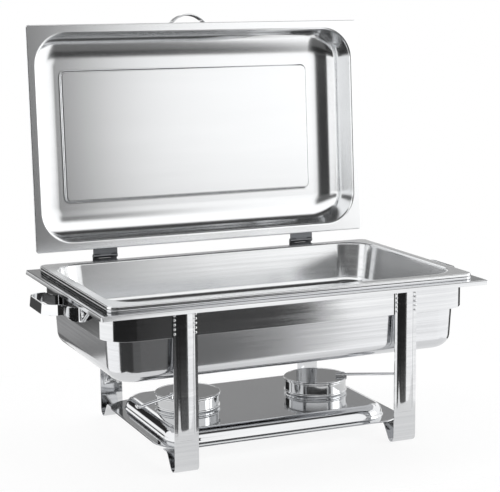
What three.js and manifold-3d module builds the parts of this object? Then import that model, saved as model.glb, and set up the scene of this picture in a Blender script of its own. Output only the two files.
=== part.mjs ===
// Upright-lid chafing dish: a welded stand, two nested pans, a hinged lid and two gel burners.
// Millimetres, +Z up, +Y towards the back. The lid stands open, leaning back on its hinges.
import * as THREE from "three";
import { mergeVertices } from "three/addons/utils/BufferGeometryUtils.js";
import Module from "manifold-3d";

const wasm = await Module();
wasm.setup();

// Driving dimensions. Every [x, y, r] is a rounded rectangle's half length, half depth and corner radius.
const SHEET = 1; // pressed stainless sheet of the pans, lid and shelf
const GAP = 0.3; // clearance between touching pieces
const RIM = [265, 162.8, 12]; // flange of a full-size gastronorm pan
const RIM_LIP = 4.1; // turned-down edge of a pan flange, so that the flanges nest 4.1 apart
const FOOD_PAN = { top: [251, 146, 45], foot: [243, 138, 40], depth: 65, fillet: 15 };
const WATER_PAN = { top: [257.5, 149, 38], foot: [253.5, 145, 36], depth: 104.8, fillet: 20 };
const FRAME_FLANGE = [280.7, 177.9, 3];
const FRAME_TOP = 223;
const FRAME_LIP = 6;
const FRAME_SHEET = 1.2;
const APRON = [265.8, 154.3, 40];
const APRON_BOTTOM = 182;
const LEG_X = 161.5;
const LEG = { width: 33.4, sheet: 1.5, rib: 4.5, ribHalf: 12, ribFrom: 46, ribFull: 60 };
const FOOT = { bend: 9.25, rise: 54, inner: 111, seam: 22.2 };
const SHELF = { flange: [183, 130.5, 44], foot: [165, 115, 40], round: 14, draft: 1.5 };
const SHELF_Z = 24.3;
const PLATFORM_Z = 41;
const LID = { flange: [265.4, 164.15, 5], top: [252, 151, 46], foot: [250, 149, 44] };
const LID_FORM = { depth: 58, fillet: 15, spread: 38 };
const LID_PANEL = { half: [200.6, 97, 8], step: 2.5 };
const LID_OPEN = 86.37; // turn from a tray lying face up to the open lid, degrees
const LID_HINGE_EDGE = [171.8, 246.1]; // Y and Z of the open lid's lower edge, on its inner face
const HINGE_AXIS = [174.73, 235.4];
const HINGE_X = 160;
const HINGE = { width: 37, knuckle: 3.2, pin: 1.5, sheet: 1.5, middle: 9 };
const BRACKET = { front: 164.3, rivetX: 11, rivetY: 169.5 };
const LEAF_END = -153.5; // inner end of a hinge leaf, from the middle of the lid's face
const LID_HANDLE = { radius: 36.3, rise: 14.7, depth: 46, width: 14, sheet: 2.5, foot: 15 };
const LID_HANDLE_RIVET = { x: 44, depth: 42.5, slack: 2.2 };
const STRAP = { sheet: 2.4, reach: 316, arm: 46, gripBend: 22, footBend: 7, tip: 78 };
const GRIP_Z = [201.4, 215.4]; // the strap's lower and upper edges along the grip
const FOOT_Z = [190.5, 209.5]; // the same where an arm meets the apron
const EAR_RIVET = [59, 202.5]; // Y and Z of the rivet in each ear
const RIVET = { shank: 2, head: 4, dome: 1.6 };
const BURNER_X = 100;
const POT = { radius: 44.5, height: 20.5, mouth: 34, bead: 1.4 };
const COVER = { radius: 46.5, height: 3.2, round: 1.2 };
const ARM = { from: 30, to: 122, radius: 2.1, pivot: 39.5, lift: 2.2, bump: 84 };
const ARM_ANGLE = { left: 215, right: -29 };

const FULL_CORNER = 5; // facets in a quarter-round corner
const FACETS = 30; // facets round a burner
const rad = THREE.MathUtils.degToRad;

// Finishes
const finish = (color, roughness, metalness = 1) =>
  new THREE.MeshStandardMaterial({ color, roughness, metalness });
const SATIN = finish(0xc4c6c8, 0.35);
const POLISHED = finish(0xd6d8da, 0.12);
const CHROME = finish(0xe2e4e6, 0.06);
const GEL = finish(0xb9c8d8, 0.5, 0);

// One rounded rectangle at height z, anticlockwise from above.
function ring([hx, hy, r], z) {
  const points = [];
  for (let corner = 0; corner < 4; corner++) {
    const cx = (corner === 0 || corner === 3 ? 1 : -1) * (hx - r);
    const cy = (corner < 2 ? 1 : -1) * (hy - r);
    for (let i = 0; i <= FULL_CORNER; i++) {
      const a = ((corner + i / FULL_CORNER) * Math.PI) / 2;
      points.push([cx + r * Math.cos(a), cy + r * Math.sin(a), z]);
    }
  }
  return points;
}

const grow = ([hx, hy, r], d) => [hx + d, hy + d, Math.max(r + d, 0.5)];
const between = (a, b, t) => a.map((v, i) => v + (b[i] - v) * t);

// Skins a row of equal rings. A loop closes on its first ring, and an open row ends in two flat caps.
function loft(rings, loop = false) {
  const n = rings[0].length;
  const positions = rings.flat(2);
  const index = [];
  const last = loop ? rings.length : rings.length - 1;
  for (let i = 0; i < last; i++) {
    const a = i * n;
    const b = ((i + 1) % rings.length) * n;
    for (let j = 0; j < n; j++) {
      const k = (j + 1) % n;
      index.push(a + j, a + k, b + k, a + j, b + k, b + j);
    }
  }
  // Each cap is a ladder of rungs from point j to its partner on the far side.
  for (let j = 0; !loop && j < n / 2 - 1; j++) {
    const end = (rings.length - 1) * n;
    index.push(j, n - 2 - j, j + 1, j, n - 1 - j, n - 2 - j);
    index.push(end + j, end + j + 1, end + n - 2 - j, end + j, end + n - 2 - j, end + n - 1 - j);
  }
  const geometry = new THREE.BufferGeometry();
  geometry.setAttribute("position", new THREE.Float32BufferAttribute(positions, 3));
  geometry.setIndex(index);
  return geometry;
}

// A closed three.js geometry as a manifold-3d solid, and back.
function toSolid(geometry) {
  const bare = geometry.clone();
  bare.deleteAttribute("normal");
  bare.deleteAttribute("uv");
  const merged = mergeVertices(bare, 1e-4);
  const vertProperties = merged.attributes.position.array;
  const triVerts = new Uint32Array(merged.index.array);
  return new wasm.Manifold(new wasm.Mesh({ numProp: 3, vertProperties, triVerts }));
}

function toGeometry(solid) {
  const { vertProperties, triVerts } = solid.getMesh();
  const geometry = new THREE.BufferGeometry();
  geometry.setAttribute("position", new THREE.BufferAttribute(vertProperties, 3));
  geometry.setIndex(new THREE.BufferAttribute(triVerts, 1));
  return geometry;
}

const cut = (geometry, tools) =>
  toGeometry(tools.reduce((solid, tool) => solid.subtract(toSolid(tool)), toSolid(geometry)));
const join = (geometry, others) =>
  toGeometry(others.reduce((solid, other) => solid.add(toSolid(other)), toSolid(geometry)));

function mesh(name, geometry, material) {
  geometry.computeVertexNormals();
  const made = new THREE.Mesh(geometry, material);
  made.name = name;
  return made;
}

// A round bar or hole between two points.
function bar(from, to, radius, facets = 12) {
  const a = new THREE.Vector3(...from);
  const b = new THREE.Vector3(...to);
  const geometry = new THREE.CylinderGeometry(radius, radius, a.distanceTo(b), facets);
  const turn = new THREE.Quaternion().setFromUnitVectors(
    new THREE.Vector3(0, 1, 0),
    b.clone().sub(a).normalize(),
  );
  geometry.applyQuaternion(turn);
  return geometry.translate(...a.add(b).multiplyScalar(0.5));
}

// Sweeps a flat strip section along a path of [outward, up] stations, standing across X.
// section(station) gives the strip's outer and inner lines as [x, offset] points.
function sweepStrip(stations, section) {
  const rings = stations.map((at, i) => {
    const before = stations[Math.max(i - 1, 0)];
    const after = stations[Math.min(i + 1, stations.length - 1)];
    const along = new THREE.Vector2(after.d - before.d, after.z - before.z).normalize();
    return section(at).map(([x, offset]) => [x, at.d - along.y * offset, at.z + along.x * offset]);
  });
  return loft(rings);
}

// A domed rivet standing on the XY plane at the origin, with its shank and tail below.
function rivetGeometry(grip) {
  const { shank, head, dome } = RIVET;
  const tail = shank + 1;
  const profile = [[0, -grip - 1.2], [tail, -grip - 1.2], [tail, -grip], [shank, -grip], [shank, 0]];
  profile.push([head, 0], [0.75 * head, 0.7 * dome], [0, dome]);
  const points = profile.map(([x, y]) => new THREE.Vector2(x, y));
  return new THREE.LatheGeometry(points, 10).rotateX(Math.PI / 2);
}

// A deep-drawn tray: walls with draft, a fillet that may spread further in than it rises, and a flange
// with a turned-down lip.
function tray({ top, foot, depth, fillet, spread = fillet }, flange, lip, floorTop) {
  const outer = [];
  const inner = [];
  const steps = 4;
  for (let i = 0; i <= steps; i++) {
    const a = (i / steps) * (Math.PI / 2);
    const inset = spread * (1 - Math.sin(a));
    const rise = fillet * (1 - Math.cos(a));
    outer.push(ring(grow(foot, -inset), -depth + rise));
    inner.push(ring(grow(foot, -inset - SHEET * Math.sin(a)), -depth + rise + SHEET * Math.cos(a)));
  }
  outer.push(ring(top, -SHEET - 2), ring(grow(top, 1.2), -SHEET));
  inner.push(ring(grow(top, -SHEET), -SHEET - 1.4), ring(grow(top, 0.6), 0));
  const edge = lip
    ? [
        ring(grow(flange, -SHEET), -SHEET),
        ring(grow(flange, -SHEET), -lip),
        ring(flange, -lip),
        ring(flange, -0.6),
      ]
    : [ring(flange, -SHEET)];
  edge.push(ring(grow(flange, lip ? -0.6 : 0), 0));
  return loft([...outer, ...edge, ...inner.reverse(), ...floorTop()]);
}

const PAN_RIM_Z = { food: FRAME_TOP + GAP + 2 * RIM_LIP, water: FRAME_TOP + GAP / 2 + RIM_LIP };

function makePan(name, pan, rimZ) {
  const plain = () => [];
  return mesh(name, tray(pan, RIM, RIM_LIP - GAP / 2, plain).translate(0, 0, rimZ), SATIN);
}

// The stand's top: a flat flange with a turned-down edge, and an apron hanging from its inner edge.
function makeUpperFrame(holes) {
  const t = FRAME_SHEET;
  const z = FRAME_TOP;
  const rings = [
    ring(APRON, APRON_BOTTOM),
    ring(APRON, z - t),
    ring(grow(FRAME_FLANGE, -t), z - t),
    ring(grow(FRAME_FLANGE, -t), z - FRAME_LIP),
    ring(FRAME_FLANGE, z - FRAME_LIP),
    ring(FRAME_FLANGE, z - 0.7),
    ring(grow(FRAME_FLANGE, -0.7), z),
    ring(grow(APRON, 0.2), z),
    ring(grow(APRON, -t), z - 1.2),
    ring(grow(APRON, -t), APRON_BOTTOM),
  ];
  return mesh("upper_frame", cut(loft(rings, true), holes), SATIN);
}

// A leg is one strip: a low crowned rib pressed down its middle, and a foot bent back under the shelf.
function legGeometry() {
  const { width, sheet, rib, ribHalf, ribFrom, ribFull } = LEG;
  const line = APRON[1] + GAP + sheet / 2;
  const stations = [{ d: line, z: FRAME_TOP - FRAME_SHEET - GAP, rib }];
  for (let i = 0; i <= 4; i++) {
    const t = i / 4;
    const height = rib * Math.cos((t * Math.PI) / 2) ** 0.8;
    stations.push({ d: line, z: ribFull + (ribFrom - ribFull) * t, rib: height });
  }
  const flat = (d, z) => stations.push({ d, z, rib: 0 });
  flat(line, FOOT.bend + sheet / 2);
  const centre = [line - FOOT.bend, FOOT.bend + sheet / 2];
  for (const degrees of [22.5, 45, 67.5, 90, 90 + FOOT.rise / 3, 90 + FOOT.rise / 1.5, 90 + FOOT.rise]) {
    const a = rad(degrees);
    flat(centre[0] + FOOT.bend * Math.cos(a), centre[1] - FOOT.bend * Math.sin(a));
  }
  const end = stations[stations.length - 1];
  const climb = FOOT.seam - 1.6 - end.z;
  flat(end.d - climb / Math.tan(rad(FOOT.rise)), end.z + climb);
  flat(end.d - climb / Math.tan(rad(FOOT.rise)) - 2.4, FOOT.seam);
  flat(FOOT.inner, FOOT.seam);
  const across = [-width / 2, -ribHalf];
  for (let i = 1; i < 8; i++) across.push(-ribHalf * Math.cos((i / 8) * Math.PI));
  across.push(ribHalf, width / 2);
  const section = ({ rib: h }) => {
    const bulge = (x, half) => (Math.abs(x) < half ? h * Math.sqrt(1 - (x / half) ** 2) : 0);
    const out = across.map((x) => [x, sheet / 2 + bulge(x, ribHalf)]);
    const back = across.map((x) => [x, -sheet / 2 + bulge(x, ribHalf - 0.9 * sheet)]);
    return [...out, ...back.reverse()];
  };
  return sweepStrip(stations, section);
}

function makeLegs() {
  const legs = [];
  for (const [side, sx] of [["left", -1], ["right", 1]]) {
    const back = mesh(`leg_rear_${side}`, legGeometry(), SATIN);
    back.position.set(sx * LEG_X, 0, 0);
    const front = mesh(`leg_front_${side}`, legGeometry(), SATIN);
    front.rotation.z = Math.PI;
    front.position.set(sx * LEG_X, 0, 0);
    legs.push(front, back);
  }
  return legs;
}

// The shelf is pressed from one sheet: a flat rim round a raised platform with a full round shoulder.
function makeShelf() {
  const { flange, foot, round, draft } = SHELF;
  const outer = [];
  const inner = [];
  for (let i = 0; i <= 4; i++) {
    const a = ((i / 4) * Math.PI) / 2;
    const inset = draft + round * (1 - Math.cos(a));
    const rise = PLATFORM_Z - round * (1 - Math.sin(a));
    outer.push(ring(grow(foot, -inset), rise));
    inner.push(ring(grow(foot, -inset - SHEET * Math.cos(a)), rise - SHEET * Math.sin(a)));
  }
  const rings = [
    ...inner.reverse(),
    ring(grow(foot, 0.6 - SHEET), SHELF_Z - SHEET),
    ring(flange, SHELF_Z - SHEET),
    ring(flange, SHELF_Z - 0.4),
    ring(grow(flange, -0.4), SHELF_Z),
    ring(grow(foot, 1.6), SHELF_Z),
    ...outer,
  ];
  return mesh("fuel_shelf", loft(rings), POLISHED);
}

// Side handles: one flat chrome strap bent to a U. Its arms grow taller towards the apron, then turn
// outwards into pointed ears that are riveted on.
function strapStations() {
  const { sheet, reach, arm, gripBend, footBend, tip } = STRAP;
  const wall = APRON[0] + GAP + sheet / 2;
  const grip = reach - sheet / 2;
  const armStart = wall + footBend;
  const armEnd = grip - gripBend;
  const half = [{ x: wall, y: tip, z: [FOOT_Z[1] - 2.5, FOOT_Z[1]] }];
  for (let i = 0; i <= 3; i++) {
    const a = ((i / 3) * Math.PI) / 2;
    const y = arm + footBend * (1 - Math.sin(a));
    half.push({ x: wall + footBend * (1 - Math.cos(a)), y, z: FOOT_Z });
  }
  half.push({ x: between([armStart], [armEnd], 0.5)[0], y: arm, z: between(FOOT_Z, GRIP_Z, 0.7) });
  for (let i = 0; i <= 4; i++) {
    const a = ((i / 4) * Math.PI) / 2;
    const y = arm - gripBend * (1 - Math.cos(a));
    half.push({ x: armEnd + gripBend * Math.sin(a), y, z: GRIP_Z });
  }
  const mirrored = half.map((at) => ({ ...at, y: -at.y })).reverse();
  return [...half, ...mirrored];
}

function strapGeometry() {
  const stations = strapStations();
  const rings = stations.map(({ x, y, z }, i) => {
    const before = stations[Math.max(i - 1, 0)];
    const after = stations[Math.min(i + 1, stations.length - 1)];
    const along = new THREE.Vector2(after.x - before.x, after.y - before.y).normalize();
    const side = (s) => [x + (along.y * s * STRAP.sheet) / 2, y - (along.x * s * STRAP.sheet) / 2];
    const [near, far] = [side(-1), side(1)];
    return [[...near, z[0]], [...near, z[1]], [...far, z[1]], [...far, z[0]]];
  });
  return loft(rings);
}

const earRivets = (side) =>
  [-1, 1].map((end) => ({ x: side * APRON[0], y: end * EAR_RIVET[0], z: EAR_RIVET[1] }));
const earDrill = (s) => bar([s.x - 9, s.y, s.z], [s.x + 9, s.y, s.z], RIVET.shank + GAP);

function makeSideHandles() {
  const made = [];
  for (const [name, side] of [["left", -1], ["right", 1]]) {
    const drills = earRivets(1).map(earDrill);
    const strap = mesh(`side_handle_${name}`, cut(strapGeometry(), drills), CHROME);
    if (side < 0) strap.rotation.z = Math.PI;
    made.push(strap);
    earRivets(side).forEach((s, i) => {
      const grip = STRAP.sheet + FRAME_SHEET + 3 * GAP;
      const rivet = mesh(`handle_rivet_${name}_${["front", "rear"][i]}`, rivetGeometry(grip), CHROME);
      rivet.rotation.y = (side * Math.PI) / 2;
      rivet.position.set(s.x + side * (GAP * 2 + STRAP.sheet), s.y, s.z);
      made.push(rivet);
    });
  }
  return made;
}

// Hinge bracket on the stand: a folded plate with an end knuckle each side of the lid's knuckle.
function hingeBracketGeometry(x) {
  const [y, z] = HINGE_AXIS;
  const { width, knuckle, pin, sheet, middle } = HINGE;
  const foot = FRAME_TOP + GAP;
  const wall = y + knuckle;
  const box = (w, d, h, cx, cy, cz) => new THREE.BoxGeometry(w, d, h).translate(cx, cy, cz);
  const depth = wall - BRACKET.front;
  const base = box(width, depth, sheet, x, wall - depth / 2, foot + sheet / 2);
  const upright = box(width, sheet, z - foot, x, wall - sheet / 2, foot + (z - foot) / 2);
  const ends = [-1, 1].map((s) => bar([x + (s * width) / 2, y, z], [x + s * (middle + GAP), y, z], knuckle));
  const room = box(2 * (middle + GAP), 20, 20, x, y, z + 6);
  const bore = bar([x - width, y, z], [x + width, y, z], pin + GAP);
  return cut(join(cut(join(base, [upright]), [room]), ends), [bore, ...bracketDrills(x)]);
}

const bracketDrills = (x) =>
  [-1, 1].map((s) => {
    const [cx, y] = [x + s * BRACKET.rivetX, BRACKET.rivetY];
    return bar([cx, y, FRAME_TOP - 6], [cx, y, FRAME_TOP + 6], RIVET.shank + GAP);
  });

function makeHingeSide(name, x) {
  const [y, z] = HINGE_AXIS;
  const made = [mesh(`hinge_bracket_${name}`, hingeBracketGeometry(x), SATIN)];
  const pin = bar([x - HINGE.width / 2 - 0.8, y, z], [x + HINGE.width / 2 + 0.8, y, z], HINGE.pin);
  made.push(mesh(`hinge_pin_${name}`, pin, POLISHED));
  [-1, 1].forEach((s, i) => {
    const grip = HINGE.sheet + FRAME_SHEET + 3 * GAP;
    const rivet = mesh(`bracket_rivet_${name}_${i + 1}`, rivetGeometry(grip), SATIN);
    rivet.position.set(x + s * BRACKET.rivetX, BRACKET.rivetY, FRAME_TOP + 2 * GAP + HINGE.sheet);
    made.push(rivet);
  });
  return made;
}

// Lid pieces are made with the lid lying face up, its face on the XY plane, then turned upright.
const lidTurn = rad(LID_OPEN);
const lidPlace = [
  LID_HINGE_EDGE[0] + LID.flange[1] * Math.cos(lidTurn),
  LID_HINGE_EDGE[1] + LID.flange[1] * Math.sin(lidTurn),
];
const axisFromLid = [HINGE_AXIS[0] - lidPlace[0], HINGE_AXIS[1] - lidPlace[1]];
const lidAxis = [
  axisFromLid[0] * Math.cos(lidTurn) + axisFromLid[1] * Math.sin(lidTurn),
  -axisFromLid[0] * Math.sin(lidTurn) + axisFromLid[1] * Math.cos(lidTurn),
];
// The handle's feet sit on the drafted wall, a little inside the line of the opening.
const lidHandleWall = THREE.MathUtils.mapLinear(
  LID_HANDLE.depth - LID_HANDLE.width / 2,
  SHEET + 2,
  LID_FORM.depth - LID_FORM.fillet,
  LID.top[1],
  LID.foot[1],
);

function lidShellGeometry() {
  const { half, step } = LID_PANEL;
  const floor = -LID_FORM.depth + SHEET;
  const panel = () => [ring(grow(half, 2.5), floor), ring(half, floor + step)];
  const shell = tray({ ...LID, ...LID_FORM }, LID.flange, 0, panel);
  const hollow = grow(half, -1.2);
  const underside = loft([ring(hollow, -LID_FORM.depth - 5), ring(hollow, -LID_FORM.depth + step - 0.02)]);
  return cut(shell, [underside]);
}

function leafGeometry(x) {
  const [y, z] = lidAxis;
  const { width, knuckle, pin, sheet, middle } = HINGE;
  const top = -SHEET - GAP;
  const length = LEAF_END - y;
  const plate = new THREE.BoxGeometry(width, length - knuckle, sheet);
  plate.translate(x, y + knuckle + (length - knuckle) / 2, top - sheet / 2);
  const neck = new THREE.BoxGeometry(2 * middle, knuckle + 1, sheet);
  neck.translate(x, y + knuckle / 2, top - sheet / 2);
  const eye = bar([x - middle, y, z], [x + middle, y, z], knuckle);
  const bore = bar([x - width, y, z], [x + width, y, z], pin + GAP);
  return cut(join(plate, [neck, eye]), [bore]);
}

function lidHandleGeometry() {
  const { radius, rise, width, sheet, foot } = LID_HANDLE;
  const wall = lidHandleWall + GAP;
  const centre = LID.flange[1] + rise - radius;
  const start = Math.asin((wall + sheet - centre) / radius);
  const shape = new THREE.Shape();
  const outerX = radius * Math.cos(start);
  shape.moveTo(outerX + foot, wall);
  shape.lineTo(outerX + foot, wall + sheet);
  shape.lineTo(outerX, wall + sheet);
  shape.absarc(0, centre, radius, start, Math.PI - start);
  shape.lineTo(-outerX - foot, wall + sheet);
  shape.lineTo(-outerX - foot, wall);
  const innerStart = Math.asin((wall - centre) / (radius - sheet));
  shape.absarc(0, centre, radius - sheet, Math.PI - innerStart, innerStart, true);
  const strap = new THREE.ExtrudeGeometry(shape, { depth: width, bevelEnabled: false, curveSegments: 14 });
  strap.translate(0, 0, -LID_HANDLE.depth - width / 2);
  return strap;
}

const handleDrills = () =>
  [-1, 1].map((s) => {
    const { x, depth } = LID_HANDLE_RIVET;
    return bar([s * x, lidHandleWall - 8, -depth], [s * x, lidHandleWall + 9, -depth], RIVET.shank + GAP);
  });

function makeLid() {
  const lid = new THREE.Group();
  lid.add(mesh("lid_shell", cut(lidShellGeometry(), handleDrills()), SATIN));
  lid.add(mesh("hinge_leaf_left", leafGeometry(-HINGE_X), SATIN));
  lid.add(mesh("hinge_leaf_right", leafGeometry(HINGE_X), SATIN));
  lid.add(mesh("lid_handle", cut(lidHandleGeometry(), handleDrills()), CHROME));
  [-1, 1].forEach((s, i) => {
    const grip = LID_HANDLE.sheet + SHEET + 4 * GAP + LID_HANDLE_RIVET.slack;
    const rivet = mesh(`lid_handle_rivet_${i + 1}`, rivetGeometry(grip), CHROME);
    rivet.rotation.x = -Math.PI / 2;
    const y = lidHandleWall + 2 * GAP + LID_HANDLE.sheet;
    rivet.position.set(s * LID_HANDLE_RIVET.x, y, -LID_HANDLE_RIVET.depth);
    lid.add(rivet);
  });
  lid.rotation.x = lidTurn;
  lid.position.set(0, ...lidPlace);
  return lid;
}

// Burners: a spun pot with a bead, gel fuel in it, and a cover that swivels on a rivet by its arm.
function lathe(profile) {
  const points = profile.map(([x, y]) => new THREE.Vector2(x, y));
  return new THREE.LatheGeometry(points, FACETS).rotateX(Math.PI / 2);
}

function potGeometry() {
  const { radius: r, height: h, mouth, bead } = POT;
  return lathe([
    [0, 0], [r - 2.5, 0], [r, 2], [r + bead, 3.6], [r + bead, 5], [r, 6.6], [r, h - 1], [r - 1, h],
    [mouth, h], [mouth, h - SHEET], [r - SHEET, h - SHEET], [r - SHEET, 2.5], [r - 3, SHEET], [0, SHEET],
  ]);
}

function coverGeometry() {
  const { radius: r, height: h, round } = COVER;
  return lathe([[0, 0], [r, 0], [r, h - round], [r - 0.3 * round, h - 0.3 * round], [r - round, h], [0, h]]);
}

// The arm runs out along +X from the pivot, rises a little, and ends in a small hook.
function armGeometry() {
  const { from, to, radius, lift, bump } = ARM;
  const start = [[from, 0], [bump - 6, lift * 0.7], [bump, lift * 0.7], [to - 6, lift]];
  const hook = [[to - 2, lift + 1.4], [to, lift + 4]];
  const points = [...start, ...hook];
  const rings = points.map(([x, z], i) => {
    const before = points[Math.max(i - 1, 0)];
    const after = points[Math.min(i + 1, points.length - 1)];
    const along = new THREE.Vector2(after[0] - before[0], after[1] - before[1]).normalize();
    return Array.from({ length: 8 }, (_, k) => {
      const a = ((k + 0.5) / 8) * 2 * Math.PI;
      const up = radius * Math.sin(a);
      return [x - along.y * up, radius * Math.cos(a), z + along.x * up];
    });
  });
  const rod = loft(rings);
  const root = new THREE.CylinderGeometry(6, 6, 1.6, 16).rotateX(Math.PI / 2);
  root.translate(ARM.pivot, 0, -radius + 0.8);
  const knob = new THREE.SphereGeometry(radius + 0.9, 10, 8).translate(bump, 0, lift * 0.7);
  return join(rod, [root, knob]);
}

function makeBurner(name, x, angle) {
  const burner = new THREE.Group();
  const pivot = (z0, z1, r) => bar([ARM.pivot, 0, z0], [ARM.pivot, 0, z1], r);
  const coverZ = POT.height + GAP;
  const armZ = coverZ + COVER.height + GAP + ARM.radius;
  const armHole = pivot(-9, 9, RIVET.shank + GAP);
  const potHole = pivot(5, 30, RIVET.shank + GAP);
  burner.add(mesh(`burner_pot_${name}`, cut(potGeometry(), [potHole]), POLISHED));
  const gel = new THREE.CylinderGeometry(POT.radius - 4.5, POT.radius - 4.5, 8, FACETS).rotateX(Math.PI / 2);
  burner.add(mesh(`fuel_gel_${name}`, gel.translate(0, 0, SHEET + GAP + 4), GEL));
  const cover = mesh(`burner_cover_${name}`, cut(coverGeometry(), [armHole]), POLISHED);
  cover.position.z = coverZ;
  const arm = mesh(`burner_arm_${name}`, cut(armGeometry(), [armHole]), CHROME);
  arm.position.z = armZ;
  const shank = armZ - (POT.height - SHEET) + ARM.radius + 2 * GAP;
  const rivet = mesh(`burner_pivot_${name}`, rivetGeometry(shank), CHROME);
  rivet.position.set(ARM.pivot, 0, armZ + ARM.radius + GAP);
  burner.add(cover, arm, rivet);
  burner.position.set(x, 0, PLATFORM_Z + GAP);
  burner.rotation.z = rad(angle);
  return burner;
}

const dish = new THREE.Group();
const frameHoles = [-1, 1].flatMap((side) => earRivets(side).map(earDrill));
dish.add(makeUpperFrame([...frameHoles, ...bracketDrills(-HINGE_X), ...bracketDrills(HINGE_X)]));
dish.add(...makeLegs(), makeShelf(), ...makeSideHandles());
dish.add(...makeHingeSide("left", -HINGE_X), ...makeHingeSide("right", HINGE_X));
dish.add(makePan("water_pan", WATER_PAN, PAN_RIM_Z.water), makePan("food_pan", FOOD_PAN, PAN_RIM_Z.food));
dish.add(makeLid());
dish.add(makeBurner("left", -BURNER_X, ARM_ANGLE.left), makeBurner("right", BURNER_X, ARM_ANGLE.right));

// The origin is at the bottom centre of the whole dish with its lid open.
const box = new THREE.Box3().setFromObject(dish, true);
dish.position.y = -(box.min.y + box.max.y) / 2;

export default dish;
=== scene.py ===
import math

import bmesh
import bpy
from mathutils import Matrix, Vector


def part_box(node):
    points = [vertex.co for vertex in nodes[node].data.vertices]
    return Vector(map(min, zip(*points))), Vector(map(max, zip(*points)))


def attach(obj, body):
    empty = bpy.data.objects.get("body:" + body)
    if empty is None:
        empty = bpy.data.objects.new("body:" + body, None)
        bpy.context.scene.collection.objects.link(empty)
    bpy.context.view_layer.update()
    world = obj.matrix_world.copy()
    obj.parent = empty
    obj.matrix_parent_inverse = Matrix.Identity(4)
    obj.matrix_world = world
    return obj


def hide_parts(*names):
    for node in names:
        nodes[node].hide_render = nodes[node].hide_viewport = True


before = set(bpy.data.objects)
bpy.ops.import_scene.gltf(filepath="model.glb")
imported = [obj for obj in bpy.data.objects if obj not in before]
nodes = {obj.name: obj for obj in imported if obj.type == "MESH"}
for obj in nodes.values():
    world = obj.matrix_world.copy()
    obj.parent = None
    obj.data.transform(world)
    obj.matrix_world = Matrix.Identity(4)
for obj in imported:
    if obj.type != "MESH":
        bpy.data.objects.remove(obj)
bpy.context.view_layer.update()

MM = 0.001

# ---------------------------------------------------------------- upper frame
# The stand's top is one ring pressed from stainless sheet: a flat flange with its edge
# turned down, and an apron that hangs from the flange's inner edge and carries the legs.

low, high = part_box("upper_frame")
DISH_Y = (low.y + high.y) / 2 / MM  # middle of the dish, front to back
FRAME_TOP = high.z / MM
FLANGE_X = (high.x - low.x) / 2 / MM
FLANGE_Y = (high.y - low.y) / 2 / MM
CORNER_STEPS = 20


def add_node(tree, kind, settings=None, **links):
    """Adds a node and feeds it. A link's key is an input's name, or the letter i and its number."""
    made = tree.nodes.new(kind)
    for key, value in (settings or {}).items():
        setattr(made, key, value)
    for key, value in links.items():
        number = key[1:]
        socket = made.inputs[int(number) if number.isdigit() else key.replace("_", " ")]
        if isinstance(value, bpy.types.NodeSocket):
            tree.links.new(value, socket)
        else:
            socket.default_value = value
    return made


def linear(code):
    """An sRGB hex colour as the linear values a shader takes."""
    channels = [int(code[i : i + 2], 16) / 255 for i in (1, 3, 5)]
    lit = [c / 12.92 if c <= 0.04045 else ((c + 0.055) / 1.055) ** 2.4 for c in channels]
    return (*lit, 1.0)


def steel(name, light, dark, rough, spread, grain, relief, wave):
    """Stainless sheet: level grain left by the rolling and brushing, and a slight wave from pressing.

    light and dark are the colours across the grain, and rough the gloss, which varies by spread.
    grain counts the streaks in a metre of height, and relief and wave say how strongly they stand out.
    """
    material = bpy.data.materials.new(name)
    material.use_nodes = True
    tree = material.node_tree
    shader = tree.nodes["Principled BSDF"]
    place = add_node(tree, "ShaderNodeTexCoord").outputs["Object"]
    drawn = add_node(tree, "ShaderNodeMapping", i0=place, Scale=(3.0, 3.0, grain)).outputs[0]
    noise = "ShaderNodeTexNoise"
    streak = add_node(tree, noise, Vector=drawn, Scale=1.0, Detail=4.0, Roughness=0.65).outputs["Fac"]
    cloud = add_node(tree, noise, Vector=place, Scale=9.0, Detail=2.0).outputs["Fac"]
    add = {"operation": "MULTIPLY_ADD"}
    both = add_node(tree, "ShaderNodeMath", add, i0=cloud, i1=0.3, i2=streak).outputs[0]
    level = add_node(tree, "ShaderNodeMapRange", Value=both, From_Min=0.45, From_Max=0.85).outputs[0]
    colours = {"i6": linear(light), "i7": linear(dark)}
    tint = add_node(tree, "ShaderNodeMix", {"data_type": "RGBA"}, i0=level, **colours)
    limits = {"To_Min": rough - spread, "To_Max": rough + spread}
    gloss = add_node(tree, "ShaderNodeMapRange", Value=level, **limits)
    pressed = add_node(tree, noise, Vector=place, Scale=14.0, Detail=1.0).outputs["Fac"]
    bump = "ShaderNodeBump"
    uneven = add_node(tree, bump, Height=pressed, Strength=wave, Distance=0.002).outputs[0]
    ground = add_node(tree, bump, Height=streak, Strength=relief, Distance=0.0002, Normal=uneven)
    shader.inputs["Metallic"].default_value = 1.0
    tree.links.new(tint.outputs[2], shader.inputs["Base Color"])
    tree.links.new(gloss.outputs[0], shader.inputs["Roughness"])
    tree.links.new(ground.outputs[0], shader.inputs["Normal"])
    return material


# Stainless sheet, rolled and lightly brushed along its length: dark reflections stay readable,
# with faint level streaks. Real grain is under 0.1 mm wide, so it is drawn about 2 mm wide to show.
frame_steel = steel("brushed_stainless_frame", "#d9dadb", "#cbccce", 0.08, 0.03, 420.0, 0.12, 0.02)


def outline(size, z):
    """Points in metres round a rounded rectangle at height z, anticlockwise from above.

    size holds half the length, half the width and the corner radius, in millimetres.
    """
    hx, hy, r = size
    points = []
    for corner in range(4):
        cx = (1 if corner in (0, 3) else -1) * (hx - r)
        cy = (1 if corner < 2 else -1) * (hy - r)
        for i in range(CORNER_STEPS + 1):
            a = (corner + i / CORNER_STEPS) * math.pi / 2
            points.append(Vector((cx + r * math.cos(a), DISH_Y + cy + r * math.sin(a), z)) * MM)
    return points


def grow(size, d):
    """The rounded rectangle that lies d outside the given one."""
    return (size[0] + d, size[1] + d, max(size[2] + d, 0.4))


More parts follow.
